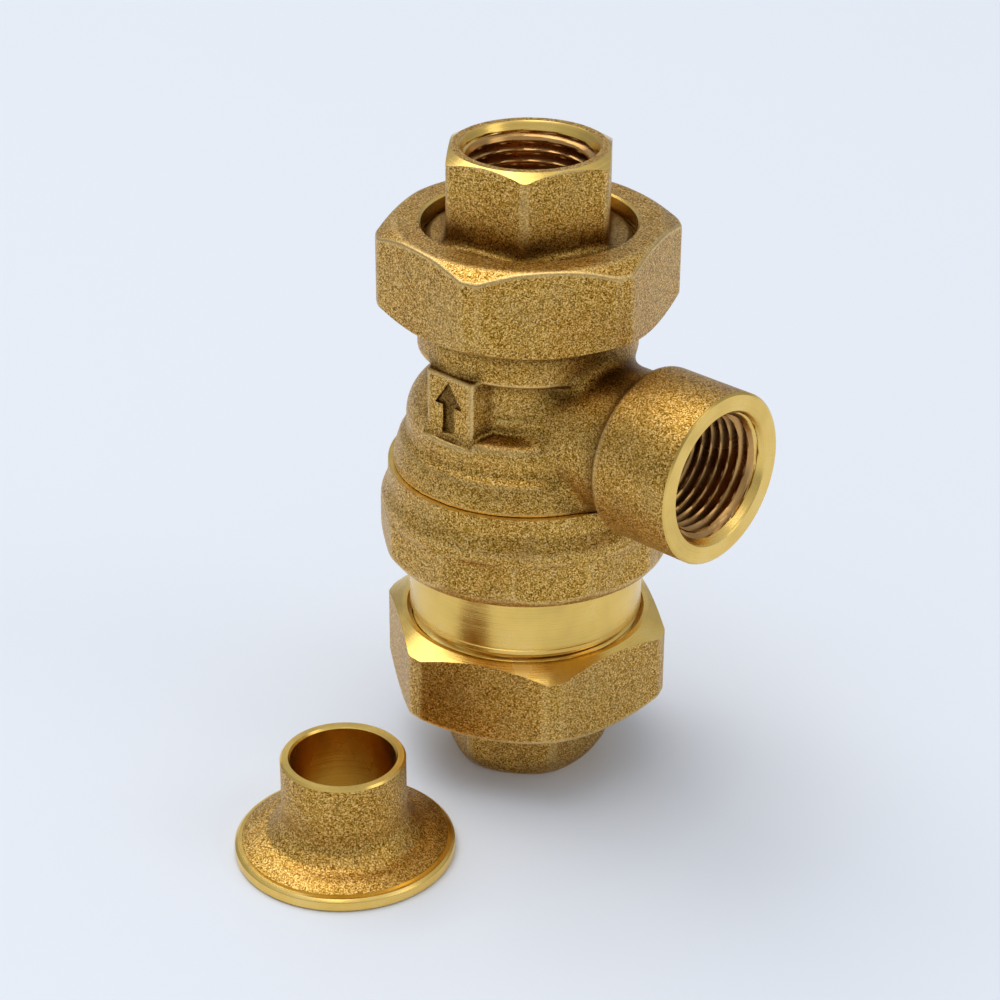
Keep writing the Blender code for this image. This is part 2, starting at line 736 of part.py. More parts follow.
def strainer():
    ring_top = INLET_FACE + 2.1 * MM - GAP
    ring_bottom = INLET_FACE + GAP
    screen_r = 9.9 * MM
    wall = 0.6 * MM
    screen_top = 33.0 * MM
    screen_outline = [
        (screen_r - wall, ring_bottom), (screen_r, ring_bottom), (screen_r, screen_top - MM),
        (screen_r - MM, screen_top), (0.0, screen_top), (0.0, screen_top - wall),
        (screen_r - MM - wall / 2, screen_top - wall), (screen_r - wall, screen_top - MM - wall / 2),
    ]
    return [
        turned("strainer_ring", ring_outline(screen_r + GAP, 14.1 * MM, ring_bottom, ring_top),
               BRIGHT_BRASS, FINE),
        turned("strainer_screen", screen_outline, STEEL, FINE),
    ]


def solder_tailpiece():
    """Loose tailpiece with a plain cup for copper tube, standing on its flange."""
    flange_top = 2.1 * MM
    dome_centre = (14.0 * MM, 6.9 * MM)
    outline = [
        (SOLDER_BORE_R, 0.0),
        (FLANGE_R - 0.3 * MM, 0.0),
        (FLANGE_R, 0.3 * MM),
        (FLANGE_R, flange_top - 0.3 * MM),
        (FLANGE_R - 1.1 * MM, flange_top + 0.4 * MM),
        (FLANGE_R - 2.4 * MM, flange_top + 0.9 * MM),
    ]
    outline += arc(dome_centre, 4.0 * MM, 270, 180, 4)
    outline += [
        (SOLDER_TUBE_R, SOLDER_HEIGHT - 0.3 * MM),
        (SOLDER_TUBE_R - 0.3 * MM, SOLDER_HEIGHT),
        (SOLDER_CUP_R, SOLDER_HEIGHT),
        (SOLDER_CUP_R, SOLDER_CUP_FLOOR),
        (SOLDER_BORE_R, SOLDER_CUP_FLOOR),
    ]
    return turned("solder_tailpiece", outline, CAST_BRASS)


# --- assembly ------------------------------------------------------------------

def parent_all(items, empty):
    for item in items:
        item.parent = empty


def footprint_centre(items):
    """Centre of the plan-view box round the finished objects."""
    bpy.context.view_layer.update()
    graph = bpy.context.evaluated_depsgraph_get()
    corners = []
    for item in items:
        shape = item.evaluated_get(graph)
        corners += [shape.matrix_world @ Vector(corner) for corner in shape.bound_box]
    middle = []
    for axis in range(2):
        values = [corner[axis] for corner in corners]
        middle.append((min(values) + max(values)) / 2)
    return Vector((middle[0], middle[1], 0.0))


def new_empty(name, location):
    empty = bpy.data.objects.new(name, None)
    empty.location = location
    bpy.context.scene.collection.objects.link(empty)
    return empty


def build():
    clear_scene()
    upper_half, body_cutters = outlet_body()
    checks, guide_pieces = check_valves()
    valve = [inlet_body(), upper_half, body_o_ring()]
    valve += union_ends() + vent_parts() + strainer() + checks
    spare = solder_tailpiece()
    valve_axis = new_empty("valve_axis", (0.0, 0.0, 0.0))
    spare_axis = new_empty("spare_axis", (SOLDER_X, SOLDER_Y, 0.0))
    parent_all(valve + body_cutters + guide_pieces, valve_axis)
    parent_all([spare], spare_axis)
    shift = footprint_centre(valve + [spare])
    for empty in (valve_axis, spare_axis):
        empty.location = Vector(empty.location) - shift
    bpy.context.view_layer.update()


build()
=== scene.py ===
"""Looks of the dual-check backflow preventer: castings, machined faces, threads, light and camera.

Cast pieces are made as a real shop makes them. A signed distance field gives the rough casting with
its soft edges, and then turned cutters machine the faces, bores and threads into it. Lengths are in
millimetres measured from the valve's own axis and from the face the valve stands on, and each mesh
is scaled to metres and placed on the axis that the CAD parts give.
"""

import json
import math

import bmesh
import bpy
import numpy as np
from mathutils import Matrix, Vector

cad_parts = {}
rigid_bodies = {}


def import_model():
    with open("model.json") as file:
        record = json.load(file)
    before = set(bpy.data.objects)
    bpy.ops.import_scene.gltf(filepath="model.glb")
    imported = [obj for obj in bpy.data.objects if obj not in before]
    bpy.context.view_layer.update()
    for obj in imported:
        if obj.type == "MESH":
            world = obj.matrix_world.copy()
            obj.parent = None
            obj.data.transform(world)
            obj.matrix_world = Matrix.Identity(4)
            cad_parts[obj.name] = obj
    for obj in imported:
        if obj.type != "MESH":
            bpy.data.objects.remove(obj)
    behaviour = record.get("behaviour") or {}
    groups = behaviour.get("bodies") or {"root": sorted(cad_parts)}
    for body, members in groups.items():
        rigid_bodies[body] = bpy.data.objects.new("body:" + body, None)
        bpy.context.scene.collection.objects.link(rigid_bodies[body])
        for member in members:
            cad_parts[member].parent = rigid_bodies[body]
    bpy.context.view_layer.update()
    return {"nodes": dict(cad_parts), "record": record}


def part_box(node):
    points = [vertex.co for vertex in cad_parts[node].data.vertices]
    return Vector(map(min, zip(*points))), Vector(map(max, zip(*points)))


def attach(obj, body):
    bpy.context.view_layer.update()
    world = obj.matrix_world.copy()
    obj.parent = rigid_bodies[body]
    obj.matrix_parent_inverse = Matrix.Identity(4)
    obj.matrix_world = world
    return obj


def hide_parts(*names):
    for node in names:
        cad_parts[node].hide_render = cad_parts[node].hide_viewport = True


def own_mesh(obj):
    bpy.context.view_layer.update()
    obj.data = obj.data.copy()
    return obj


for item in list(bpy.data.objects):
    bpy.data.objects.remove(item, do_unlink=True)

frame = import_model()

MM = 0.001
TAU = math.tau


def middle_of(node):
    low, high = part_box(node)
    return (low + high) / 2


VALVE_AXIS = Vector((middle_of("outlet_tailpiece").x, middle_of("outlet_tailpiece").y, 0.0))
SPARE_AXIS = Vector((middle_of("solder_tailpiece").x, middle_of("solder_tailpiece").y, 0.0))

# Sizes that follow from the CAD parts, in millimetres
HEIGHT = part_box("outlet_tailpiece")[1].z / MM
TAIL_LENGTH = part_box("inlet_tailpiece")[1].z / MM
NUT_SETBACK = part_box("inlet_union_nut")[0].z / MM
NUT_HEIGHT = (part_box("inlet_union_nut")[1].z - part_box("inlet_union_nut")[0].z) / MM
INLET_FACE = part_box("inlet_body")[0].z / MM
COLLAR_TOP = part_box("inlet_body")[1].z / MM
SPIGOT_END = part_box("outlet_body")[0].z / MM
OUTLET_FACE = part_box("outlet_body")[1].z / MM
VENT_MOUTH = (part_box("outlet_body")[1].x - VALVE_AXIS.x) / MM
SPARE_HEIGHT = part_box("solder_tailpiece")[1].z / MM

# Ports
PORT_PITCH = 1.814
PORT_CREST_R = 9.16
PORT_ROOT_R = 10.45
PORT_MOUTH_R = 10.95
PORT_DEPTH = 13.5
PORT_BORE_R = 7.5

# Union
UNION_PITCH = 1.5
UNION_CREST_R = 18.85               # of the male thread
UNION_ROOT_R = 18.05
UNION_START_R = UNION_ROOT_R - 0.4  # of its leading end
UNION_PLAY = 0.25                   # how far outside it the female thread lies
TAIL_FLATS = 25.0
TAIL_FACE_R = 12.2
TAIL_CHAMFER = 3.2
FLANGE_R = 17.7
SHOULDER_R = 16.5
SHOULDER_FROM_END = 13.4
NUT_FLATS = 43.0
NUT_CORNERS = 48.0                  # across the blunt corners
NUT_LIP_R = 16.95
NUT_LIP_THICK = 2.9
NUT_MOUTH_R = 19.8
NUT_FACE_R = 20.6
NUT_FACE_WIDTH = 5.4
OUTLET_NUT_TURN = -70.0             # azimuth of one corner, in degrees, here and below
INLET_NUT_TURN = -36.4
OUTLET_TAIL_TURN = -51.0
INLET_TAIL_TURN = -28.0

# Bodies
COLLAR_R = 23.8
COLLAR_UNDERSIDE = 38.7
COLLAR_SIDES = 12                   # flats round its lower part
COLLAR_TURN = 22.5                  # azimuth of one flat, in degrees
COLLAR_FLATS = 2 * COLLAR_R - 0.95
COLLAR_SWELL = 0.35                 # how far the lower part stands proud at its corners
SKIRT_BOTTOM = COLLAR_TOP + 0.03
WAIST_R = 19.28
WAIST_FROM = 27.5
BELLY_ROUND = 6.8                   # radius of the belly's bulge, seen in section
BELLY_CENTRE = (12.7, 62.3)         # radius and height of the point it bulges round
VENT_Z = 63.84
VENT_DRUM_R = 13.8
VENT_DRUM_X = 25.0
VENT_NECK_R = 11.8
PAD_FACE = 18.5                     # how far the arrow pad's face stands from the axis
PAD_HALF = 4.65
PAD_Z = (63.7, 74.5)
PANEL_R = 15.8                      # floor of the hollow beside the pad
PANEL_TOP = 73.7

# Camera and light: angles in degrees, lengths in metres
CAMERA_AZIMUTH = 42.62
CAMERA_ELEVATION = 27.74
CAMERA_ROLL = 0.3
CAMERA_DISTANCE = 0.4355
CAMERA_AIM = VALVE_AXIS + Vector((-0.00318, -0.00292, 0.0459))
CAMERA_LENS = 95.6                  # millimetres, on a sensor 36 wide
HORIZON_LIGHT = 0.34
ZENITH_LIGHT = 0.80

FINE = 0.30          # grid step of the castings
TURNS = 160           # facets round a turned surface
CHAMFER = math.radians(30)


# --- meshes ----------------------------------------------------------------------

def place_mesh(name, points, faces, place, material=None, smooth=35):
    """A mesh object from points in millimetres round its own axis, standing at place."""
    mesh = bpy.data.meshes.new(name)
    mesh.from_pydata((np.asarray(points, float) * MM).tolist(), [], faces)
    mesh.update()
    builder = bmesh.new()
    builder.from_mesh(mesh)
    if builder.calc_volume(signed=True) < 0:
        bmesh.ops.reverse_faces(builder, faces=builder.faces)
    builder.to_mesh(mesh)
    builder.free()
    made = bpy.data.objects.new(name, mesh)
    bpy.context.scene.collection.objects.link(made)
    made.location = place
    if material:
        mesh.materials.append(material)
    shade(made, smooth)
    return made


def shade(piece, angle):
    piece.data.shade_smooth()
    piece.data.set_sharp_from_angle(angle=math.radians(angle))


def turned(name, outline, place=VALVE_AXIS, material=None, shape=None, lay_x=None):
    """Turn a closed outline of (radius, height) about Z.

    shape(radius, height, angle) may change the radius, for a thread.
    lay_x lays the piece along +X at that height.
    """
    count = TURNS
    radius = np.array([point[0] for point in outline], float)[:, None]
    height = np.array([point[1] for point in outline], float)[:, None]
    angle = np.arange(count)[None, :] * (TAU / count)
    reach = radius + 0 * angle
    if shape:
        reach = np.where(radius > 0, shape(reach, height + 0 * angle, angle + 0 * radius), 0.0)
    points = np.stack([reach * np.cos(angle), reach * np.sin(angle), height + 0 * angle], -1)
    if lay_x is not None:
        points = np.stack([points[..., 2], points[..., 1], lay_x - points[..., 0]], -1)
    rows = len(outline)
    number = np.arange(rows * count).reshape(rows, count)
    number[radius[:, 0] == 0] = number[radius[:, 0] == 0][:, :1]
    faces = []
    for row in range(rows):
        below, above = number[row], number[(row + 1) % rows]
        for step in range(count):
            corners = (below[step], below[step - 1], above[step - 1], above[step])
            face = tuple(dict.fromkeys(int(corner) for corner in corners))
            if len(face) > 2:
                faces.append(face)
    used = sorted({corner for face in faces for corner in face})
    renumber = {old: new for new, old in enumerate(used)}
    faces = [tuple(renumber[corner] for corner in face) for face in faces]
    return place_mesh(name, points.reshape(-1, 3)[used], faces, place, material)


def surface_net(distance, low, high, step):
    """Points and quads of the zero level of a signed distance field, on a grid of that step."""
    axes = [np.arange(a, b + step, step, dtype=np.float32) for a, b in zip(low, high)]
    value = np.empty([len(axis) for axis in axes], np.float32)
    for index, x in enumerate(axes[0]):
        value[index] = distance(x + np.zeros((1, 1), np.float32), axes[1][:, None], axes[2][None, :])
    inside = value < 0
    corners = [(i, j, k) for i in (0, 1) for j in (0, 1) for k in (0, 1)]
    size = [len(axis) - 1 for axis in axes]
    total = sum(inside[i:i + size[0], j:j + size[1], k:k + size[2]].astype(np.int8) for i, j, k in corners)
    cells = np.argwhere((total > 0) & (total < 8))
    point = np.zeros((len(cells), 3))
    hits = np.zeros(len(cells))
    for start in corners:
        for axis in range(3):
            if start[axis]:
                continue
            end = np.array(start) + np.eye(3, dtype=int)[axis]
            first = value[tuple((cells + start).T)]
            second = value[tuple((cells + end).T)]
            crossed = (first < 0) != (second < 0)
            share = np.where(crossed, first / np.where(crossed, first - second, 1), 0)
            offset = np.array(start) + share[:, None] * np.eye(3)[axis]
            point += np.where(crossed[:, None], offset, 0)
            hits += crossed
    origin = np.array([axis[0] for axis in axes], float)
    points = origin + (cells + point / hits[:, None]) * step
    number = np.full(size, -1, np.int64)
    number[tuple(cells.T)] = np.arange(len(cells))
    faces = []
    for axis in range(3):
        across, along = [a for a in range(3) if a != axis]
        here = [slice(None)] * 3
        there = [slice(None)] * 3
        here[axis], there[axis] = slice(None, -1), slice(1, None)
        edge = np.argwhere(inside[tuple(here)] != inside[tuple(there)])
        edge = edge[(edge[:, across] > 0) & (edge[:, along] > 0)]
        ring = []
        for back_across, back_along in ((1, 1), (0, 1), (0, 0), (1, 0)):
            cell = edge.copy()
            cell[:, across] -= back_across
            cell[:, along] -= back_along
            ring.append(number[tuple(cell.T)])
        ring = np.stack(ring, -1)
        flip = inside[tuple(edge.T)] ^ (axis == 1)
        ring[flip] = ring[flip][:, ::-1]
        faces.append(ring)
    return points, np.concatenate(faces)


def settle(points, distance, limit, rounds=4):
    """Move points onto the zero level, by Newton steps along the field's slope."""
    probe = 0.03
    for _ in range(rounds):
        here = distance(*points.T)
        slope = np.stack([
            (distance(*(points + probe * unit).T) - distance(*(points - probe * unit).T)) / (2 * probe)
            for unit in np.eye(3)
        ], -1)
        steep = np.maximum((slope ** 2).sum(-1), 0.2)
        points = points - np.clip(here / steep, -limit, limit)[:, None] * slope
    return points


def casting(name, distance, low, high, place=VALVE_AXIS):
    """Rough casting of a distance field, smooth all over, in cast brass."""
    points, faces = surface_net(distance, low, high, FINE)
    points = settle(points, distance, FINE * 0.5)
    return place_mesh(name, points, faces.tolist(), place, CAST, 180)


def machine(piece, *cutters):
    """Cut the cutters away. The cut faces take the cutters' materials."""
    for cutter in cutters:
        bpy.context.view_layer.update()
        modifier = piece.modifiers.new("cut", "BOOLEAN")
        modifier.operation = "DIFFERENCE"
        modifier.solver = "MANIFOLD"
        modifier.object = cutter
        modifier.material_mode = "TRANSFER"
        graph = bpy.context.evaluated_depsgraph_get()
        mesh = bpy.data.meshes.new_from_object(piece.evaluated_get(graph))
        piece.modifiers.clear()
        piece.data = mesh
        bpy.data.objects.remove(cutter, do_unlink=True)
    sharpen(piece)
    return piece


def sharpen(piece):
    """Keep castings soft, and make machined edges and the line where a cut starts crisp."""
    mesh = piece.data
    mesh.shade_smooth()
    builder = bmesh.new()
    builder.from_mesh(mesh)
    builder.normal_update()
    machined, rough = math.radians(24), math.radians(50)
    for edge in builder.edges:
        if len(edge.link_faces) != 2:
            continue
        first, second = edge.link_faces
        meets_cut = first.material_index != second.material_index
        crisp = edge.calc_face_angle(0) > (machined if first.material_index else rough)
        edge.smooth = not (meets_cut or crisp)
    builder.to_mesh(mesh)
    builder.free()


# --- distance fields ------------------------------------------------------------

def smooth_max(first, second, soft):
    blend = np.maximum(soft - np.abs(first - second), 0) / soft
    return np.maximum(first, second) + blend * blend * soft / 4


def smooth_min(first, second, soft):
    return -smooth_max(-first, -second, soft)


def outline_distance(outline, u, v):
    """Signed distance to a closed outline in a plane, negative inside."""
    nearest = np.full(np.broadcast(u, v).shape, 1e9, np.float32)
    inside = np.zeros(nearest.shape, bool)
    for (u0, v0), (u1, v1) in zip(outline, outline[1:] + outline[:1]):
        du, dv = u1 - u0, v1 - v0
        along = np.clip(((u - u0) * du + (v - v0) * dv) / (du * du + dv * dv), 0, 1)
        nearest = np.minimum(nearest, (u - u0 - along * du) ** 2 + (v - v0 - along * dv) ** 2)
        if dv:
            inside ^= ((v0 > v) != (v1 > v)) & (u < du * (v - v0) / dv + u0)
    return np.where(inside, -1, 1) * np.sqrt(nearest)


def rounded(outline, steps=5):
    """Replace each corner (u, v, radius) of a closed outline by an arc of that radius."""
    made = []
    for index, corner in enumerate(outline):
        here = Vector(corner[:2])
        radius = corner[2] if len(corner) > 2 else 0
        before = (Vector(outline[index - 1][:2]) - here).normalized()
        after = (Vector(outline[(index + 1) % len(outline)][:2]) - here).normalized()
        opening = before.angle(after)
        if radius == 0 or opening > math.radians(178):
            made.append(tuple(here))
            continue
        bisector = (before + after).normalized()
        centre = here + bisector * (radius / math.sin(opening / 2))
        start = here + before * (radius / math.tan(opening / 2)) - centre
        end = here + after * (radius / math.tan(opening / 2)) - centre
        sweep = start.angle_signed(end)
        for step in range(steps + 1):
            turn = -sweep * step / steps
            spin = Matrix.Rotation(turn, 2)
            made.append(tuple(centre + spin @ start))
    return made


def prism(x, y, turn, across, soft, sides=6):
    """Distance to an upright prism with one flat facing azimuth turn and soft edges."""
    widest = None
    for face in range(sides // 2):
        normal = math.radians(turn + 360 / sides * face)
        reach = np.abs(x * math.cos(normal) + y * math.sin(normal)) - across / 2
        widest = reach if widest is None else smooth_max(widest, reach, soft)
    return widest


def from_end(z, outlet):
    return HEIGHT - z if outlet else z


def nut_distance(turn, outlet):
    """Blunt-cornered hexagon, chamfered at both ends."""
    middle = NUT_SETBACK + NUT_HEIGHT / 2
    closed_r, open_r = 21.2, 21.6
    soft = 0.35

    def distance(x, y, z):
        h = from_end(z, outlet)
        r = np.hypot(x, y)
        block = prism(x, y, turn + 30, NUT_FLATS, 0.3)
        block = smooth_max(block, prism(x, y, turn, NUT_CORNERS, 0.3), soft)
        block = smooth_max(block, np.abs(h - middle) - NUT_HEIGHT / 2, 0.3)
        closed = (r - closed_r) * math.sin(CHAMFER) + (NUT_SETBACK - h) * math.cos(CHAMFER)
        past_mouth = h - NUT_SETBACK - NUT_HEIGHT
        open_side = (r - open_r) * math.sin(CHAMFER) + past_mouth * math.cos(CHAMFER)
        return smooth_max(smooth_max(block, closed, soft), open_side, soft)

    return distance


def tail_distance(turn, outlet):
    """Hexagon bar on a round shoulder and flange. The inlet one's bar has a turned-down end."""
    bar_length, end_r = 17.0, 11.9
    outline = rounded([
        (0, SHOULDER_FROM_END - 2), (11, SHOULDER_FROM_END - 2), (12.4, SHOULDER_FROM_END + 0.1, 1.0),
        (15.4, SHOULDER_FROM_END + 0.7, 0.5), (SHOULDER_R - 0.35, SHOULDER_FROM_END + 1.15, 0.5),
        (SHOULDER_R, SHOULDER_FROM_END + 1.7, 0.3), (SHOULDER_R, TAIL_LENGTH - 2.2),
        (FLANGE_R, TAIL_LENGTH - 2.2, 0.25), (FLANGE_R, TAIL_LENGTH, 0.25), (0, TAIL_LENGTH),
    ])

    def distance(x, y, z):
        h = from_end(z, outlet)
        r = np.hypot(x, y)
        bar = prism(x, y, turn + 30, TAIL_FLATS, 0.8)
        if not outlet:
            bar = smooth_max(bar, (r - end_r - h) * math.sqrt(0.5), 1.6)
        bar = smooth_max(bar, np.abs(h - bar_length / 2) - bar_length / 2, 0.3)
        return smooth_min(bar, outline_distance(outline, r, h), 1.3)

    return distance


# --- threads ---------------------------------------------------------------------

def thread_depth(phase):
    """0 at a thread's crest and 1 at its root, for a 60 degree thread with small flats."""
    flat = 0.1
    ramp = np.abs(2 * (phase % 1.0) - 1)
    return np.clip((ramp - flat) / (1 - 2 * flat), 0, 1)


def thread_rows(radius, start, end, rows):
    """Outline points through a thread, close enough together to carry its shape."""
    return [(radius, start + (end - start) * row / rows) for row in range(rows + 1)]


def on_thread(radius, crest):
    """Which points of an outline a thread shapes: those that lie at its crest's radius."""
    return np.abs(radius - crest) < 1e-6


def port_shape(mouth, direction):
    """Radius of a port: helical thread, washed out at its deep end, opened by a countersink."""
    def shape(radius, height, angle):
        depth = direction * (mouth - height)
        phase = height / PORT_PITCH - angle / TAU
        female = PORT_CREST_R + (PORT_ROOT_R - PORT_CREST_R) * thread_depth(phase)
        fade = np.clip((PORT_DEPTH - depth) / 1.5, 0, 1)
        female = PORT_CREST_R + (female - PORT_CREST_R) * fade
        cone = PORT_MOUTH_R - 0.25 - np.maximum(depth - 0.3, 0) * 0.55
        lip = PORT_MOUTH_R - depth * 0.9
        opened = np.maximum(np.maximum(female, cone), lip)
        return np.where(on_thread(radius, PORT_CREST_R), opened, radius)

    return shape


def port_cutter(mouth, direction, past, material, thread, face_r=None, chamfer=0.0, lay_x=None, deep=None):
    """Cutter for a port and, with face_r, for its faced end. direction is +1 when the mouth faces up."""
    deep_end = mouth - direction * (deep or TAIL_LENGTH + 2)
    outer_end = mouth + direction * past
    thread_end = mouth - direction * PORT_DEPTH
    outline = [(0, deep_end), (PORT_BORE_R, deep_end), (PORT_BORE_R, mouth - direction * (PORT_DEPTH + 1.0))]
    outline += thread_rows(PORT_CREST_R, thread_end, mouth, 110)
    if face_r:
        rim_r = face_r + chamfer
        drop = chamfer * math.tan(CHAMFER)
        outline += [(face_r, mouth), (rim_r, mouth - direction * drop), (rim_r, outer_end), (0, outer_end)]
    else:
        outline += [(PORT_MOUTH_R, outer_end), (0, outer_end)]
    cutter = turned("cutter", outline, material=material, shape=port_shape(mouth, direction), lay_x=lay_x)
    cutter.data.materials.append(thread)
    countersink = 1.6
    # faces deeper than the countersink take the darker thread finish: painted shade down the port
    for face in cutter.data.polygons:
        middle = face.center / MM
        height = middle.x if lay_x is not None else middle.z
        if direction * (mouth - height) > countersink:
            face.material_index = 1
    return cutter


def union_radius(height, angle):
    phase = height / UNION_PITCH - angle / TAU
    return UNION_CREST_R - (UNION_CREST_R - UNION_ROOT_R) * thread_depth(phase)


def male_thread(end):
    """Shape of a body's union thread, tapered at the end that a nut starts on."""
    def shape(radius, height, angle):
        lead = UNION_START_R + np.abs(height - end) * 1.2
        male = np.minimum(union_radius(height, angle), lead)
        return np.where(on_thread(radius, UNION_CREST_R), male, radius)

    return shape


# --- materials -------------------------------------------------------------------

class Nodes:
    """Short-hand for building one material's node tree."""

    def __init__(self, name):
        self.material = bpy.data.materials.new(name)
        self.material.use_nodes = True
        self.tree = self.material.node_tree
        self.shader = self.tree.nodes["Principled BSDF"]

    def add(self, kind, inputs=None, **settings):
        node = self.tree.nodes.new(kind)
        for key, value in settings.items():
            setattr(node, key, value)
        for key, value in (inputs or {}).items():
            self.feed(node.inputs[key], value)
        return node

    def feed(self, socket, value):
        if isinstance(value, bpy.types.NodeSocket):
            self.tree.links.new(value, socket)
        else:
            socket.default_value = value

    def maths(self, operation, first, second=0.0, third=0.0):
        node = self.add("ShaderNodeMath", operation=operation)
        for socket, value in zip(node.inputs, (first, second, third)):
            self.feed(socket, value)
        return node.outputs[0]

    def span(self, value, low, high, to_low, to_high):
        node = self.add("ShaderNodeMapRange", {
            "Value": value, "From Min": low, "From Max": high, "To Min": to_low, "To Max": to_high,
        })
        return node.outputs["Result"]

    def mix(self, share, first, second, blend="MIX"):
        node = self.add("ShaderNodeMix", data_type="RGBA", blend_type=blend)
        self.feed(node.inputs["Factor"], share)
        self.feed(node.inputs["A"], first)
        self.feed(node.inputs["B"], second)
        return node.outputs["Result"]

    def ramp(self, value, stops):
        node = self.add("ShaderNodeValToRGB", {"Fac": value})
        band = node.color_ramp
        while len(band.elements) < len(stops):
            band.elements.new(0.5)
        for element, (position, colour) in zip(band.elements, stops):
            element.position = position
            element.color = (*colour, 1.0)
        return node.outputs["Color"]

    def where(self):
        """Position on the piece itself, in metres from its own axis."""
        return self.add("ShaderNodeTexCoord").outputs["Object"]

    def noise(self, vector, scale, detail=2.0, roughness=0.5):
        node = self.add("ShaderNodeTexNoise", {
            "Vector": vector, "Scale": scale, "Detail": detail, "Roughness": roughness,
        })
        return node.outputs["Fac"]

    def bump(self, height, strength, distance):
        inputs = {"Height": height, "Strength": strength, "Distance": distance}
        return self.add("ShaderNodeBump", inputs).outputs["Normal"]

    def finish(self, **sockets):
        for key, value in sockets.items():
            self.feed(self.shader.inputs[key.replace("_", " ")], value)
        return self.material


def cast_brass(name):
    """Bead-blasted brass: fine grain on a slowly changing tint, worn and with painted highlight on edges,
    and with painted shade in recesses and where a union nut stands round the piece.
    """
    n = Nodes(name)
    where = n.where()
    grain = n.add("ShaderNodeTexVoronoi", {"Vector": where, "Scale": 5400.0, "Randomness": 1.0})
    speck = n.add("ShaderNodeSeparateColor", {"Color": grain.outputs["Color"]}).outputs["Red"]
    fine = n.noise(where, 4300.0, 3.0, 0.65)
    clump = n.noise(where, 900.0, 2.0)
    level = n.maths("MULTIPLY_ADD", speck, 0.35, n.maths("MULTIPLY", fine, 0.65))
    colour = n.ramp(level, [
        (0.30, (0.100, 0.042, 0.003)), (0.43, (0.380, 0.196, 0.022)),
        (0.56, (0.660, 0.378, 0.070)), (0.70, (1.000, 0.690, 0.270)),
    ])
    patch = n.noise(where, 70.0, 4.0)
    colour = n.mix(n.span(patch, 0.48, 0.72, 0.0, 0.45), colour, (0.78, 0.62, 0.46, 1.0), "MULTIPLY")
    cool = n.noise(where, 160.0, 3.0)
    colour = n.mix(n.span(cool, 0.5, 0.75, 0.0, 0.20), colour, (0.48, 0.35, 0.15, 1.0))
    # lighter on outer edges and blunt corners: partly real wear, partly painted highlight
    edge = n.add("ShaderNodeAttribute", attribute_name="edge").outputs["Fac"]
    wear_and_highlight = n.span(n.maths("MULTIPLY_ADD", fine, 0.5, edge), 0.32, 0.85, 0.0, 0.6)
    colour = n.mix(wear_and_highlight, colour, (0.92, 0.65, 0.27, 1.0))
    # painted shade: darker where the piece is shut in by its own shape or by the union nut round it
    painted_shade = n.add("ShaderNodeAttribute", attribute_name="painted_shade").outputs["Fac"]
    colour = n.mix(n.span(painted_shade, 0.04, 0.45, 0.0, 1.0), colour, (0.34, 0.30, 0.24, 1.0), "MULTIPLY")
    bumps = n.maths("ADD", n.maths("MULTIPLY", fine, 0.7), n.maths("MULTIPLY", clump, 0.5))
    normal = n.bump(bumps, 0.75, 0.00012)
    rough = n.span(wear_and_highlight, 0.0, 0.6, 0.41, 0.30)
    return n.finish(Base_Color=colour, Metallic=1.0, Roughness=rough, Normal=normal)


def turned_brass(name, along_vent=False, colour=(0.88, 0.585, 0.150), rough=0.22, marks=0.6):
    """Machined brass with the tool's fine rings, round the valve's axis or the vent's."""
    n = Nodes(name)
    where = n.where()
    part = n.add("ShaderNodeSeparateXYZ", {"Vector": where})
    x, y, z = (part.outputs[key] for key in "XYZ")
    if along_vent:
        x, z = n.maths("SUBTRACT", z, VENT_Z * MM), x
    radius = n.maths("SQRT", n.maths("ADD", n.maths("MULTIPLY", x, x), n.maths("MULTIPLY", y, y)))
    along = n.maths("ADD", radius, z)
    line = n.add("ShaderNodeCombineXYZ", {"X": along})
    rings = n.noise(line.outputs[0], 5200.0, 4.0, 0.65)
    broad = n.noise(line.outputs[0], 900.0, 2.0)
    smudge = n.noise(where, 160.0, 3.0)
    height = n.maths("ADD", n.maths("MULTIPLY", rings, 0.6), broad)
    normal = n.bump(height, marks, 0.00006)
    tint = n.ramp(n.maths("ADD", n.maths("MULTIPLY", rings, 0.5), n.maths("MULTIPLY", smudge, 0.5)), [
        (0.3, tuple(c * 0.7 for c in colour)), (0.52, colour), (0.75, tuple(c ** 0.7 for c in colour)),
    ])
    roughness = n.span(smudge, 0.3, 0.7, rough * 0.8, rough * 1.35)
    return n.finish(Base_Color=tint, Metallic=1.0, Roughness=roughness, Normal=normal)


def plain(name, colour, metallic, rough, grain=1500.0, strength=0.2, deep=0.00005):
    """An inner part's finish, with a fine grain and a little change of tone."""
    n = Nodes(name)
    where = n.where()
    fine = n.noise(where, grain, 3.0)
    slow = n.noise(where, 120.0, 2.0)
    tone = n.mix(n.span(slow, 0.3, 0.7, 0.0, 0.5), (*colour, 1.0), (*(c * 0.72 for c in colour), 1.0))
    normal = n.bump(fine, strength, deep)
    roughness = n.span(slow, 0.2, 0.8, rough * 0.85, rough * 1.15)
    return n.finish(Base_Color=tone, Metallic=metallic, Roughness=roughness, Normal=normal)


CAST = cast_brass("cast_brass")
BRIGHT = turned_brass("machined_brass")
BRIGHT_X = turned_brass("machined_brass_vent", along_vent=True)
# darker than the machined brass: painted shade down in the ports' threads
SHADED_THREAD_COLOUR = (0.56, 0.31, 0.105)
THREAD = turned_brass("thread_brass", False, SHADED_THREAD_COLOUR, rough=0.24, marks=0.25)
THREAD_X = turned_brass("thread_brass_vent", True, SHADED_THREAD_COLOUR, rough=0.24, marks=0.25)
